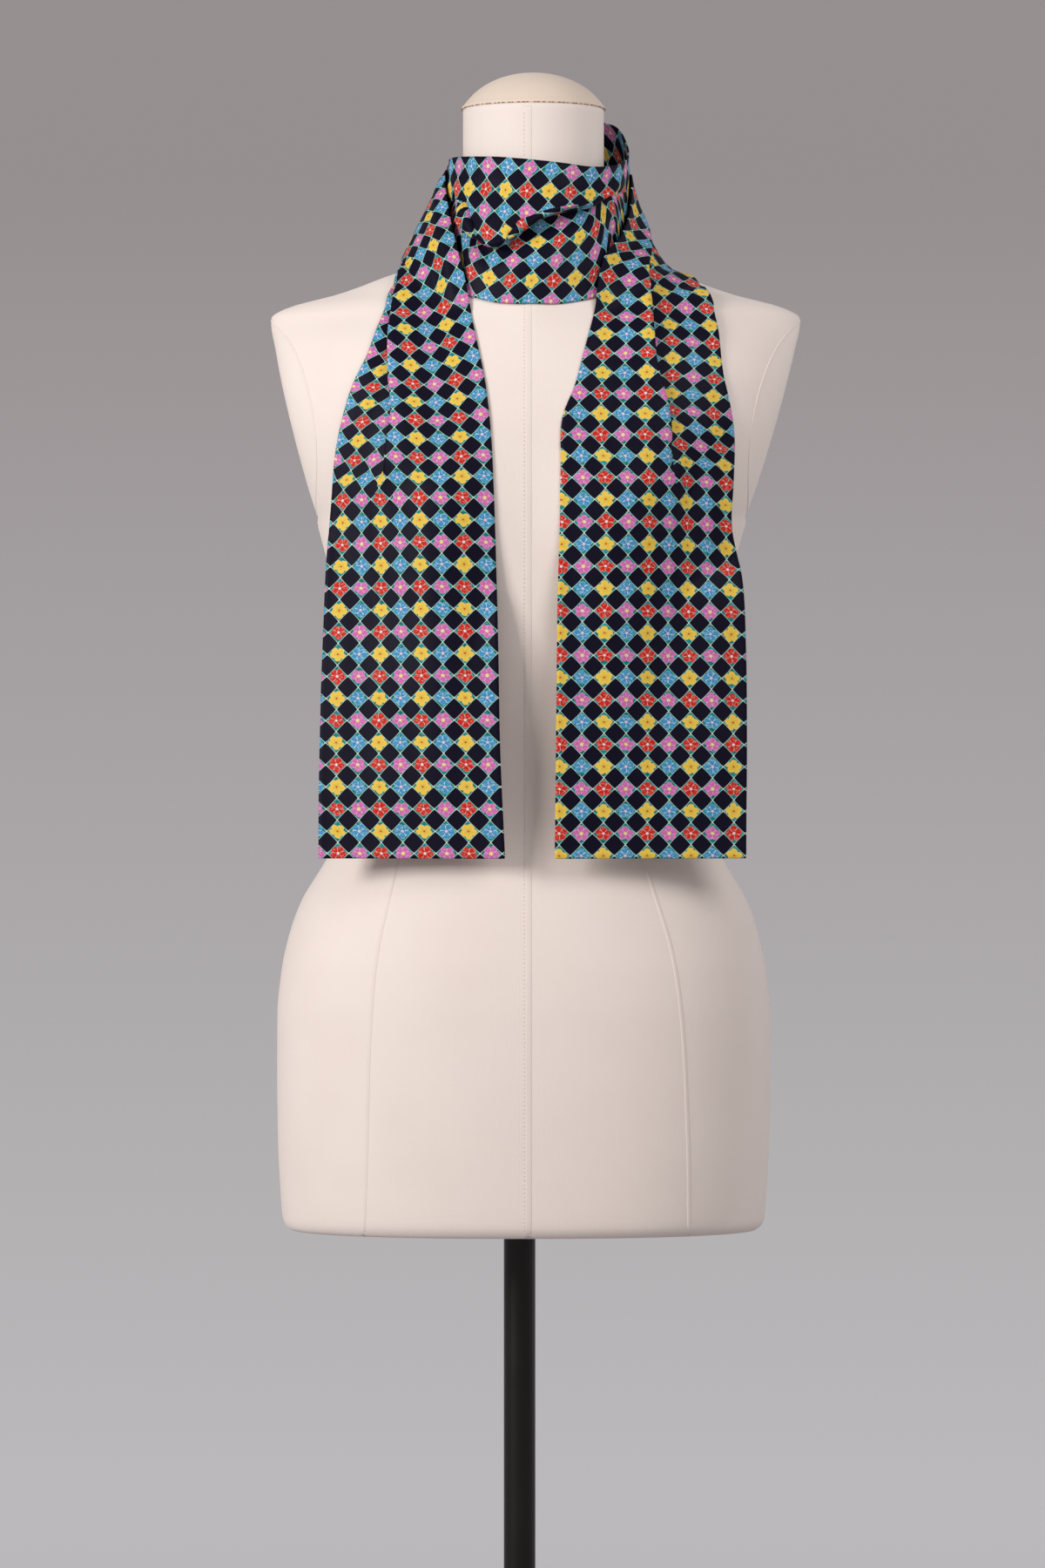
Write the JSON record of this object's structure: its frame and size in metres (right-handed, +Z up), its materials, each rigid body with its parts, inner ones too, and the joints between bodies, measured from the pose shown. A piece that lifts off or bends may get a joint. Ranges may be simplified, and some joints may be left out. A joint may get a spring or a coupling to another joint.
{
  "type": "silk scarf on a dress form",
  "caption": "Narrow printed silk scarf wound once round the neck of a limbless dress form on a pole stand, with both ends hanging in front.",
  "frame": {"origin": "middle of the underside of the stand's base, on the floor", "axes": "+Z up, -Y the front of the form, -X the viewer's left"},
  "size_m": [0.44, 0.44, 1.6403],
  "materials": {
    "printed_silk": "soft satin sheen, small printed flowers in a diamond check",
    "cover_cloth": "matt cream jersey",
    "cap_cloth": "matt cream canvas",
    "dark_metal": "satin, nearly black"
  },
  "bodies": {
    "root": {"neck_band": "printed_silk", "left_tail": "printed_silk", "right_tail": "printed_silk", "nape_over": "printed_silk", "nape_under": "printed_silk", "form_body": "cover_cloth", "neck_cap": "cap_cloth", "stand_pole": "dark_metal", "stand_base": "dark_metal"}
  },
  "joints": []
}
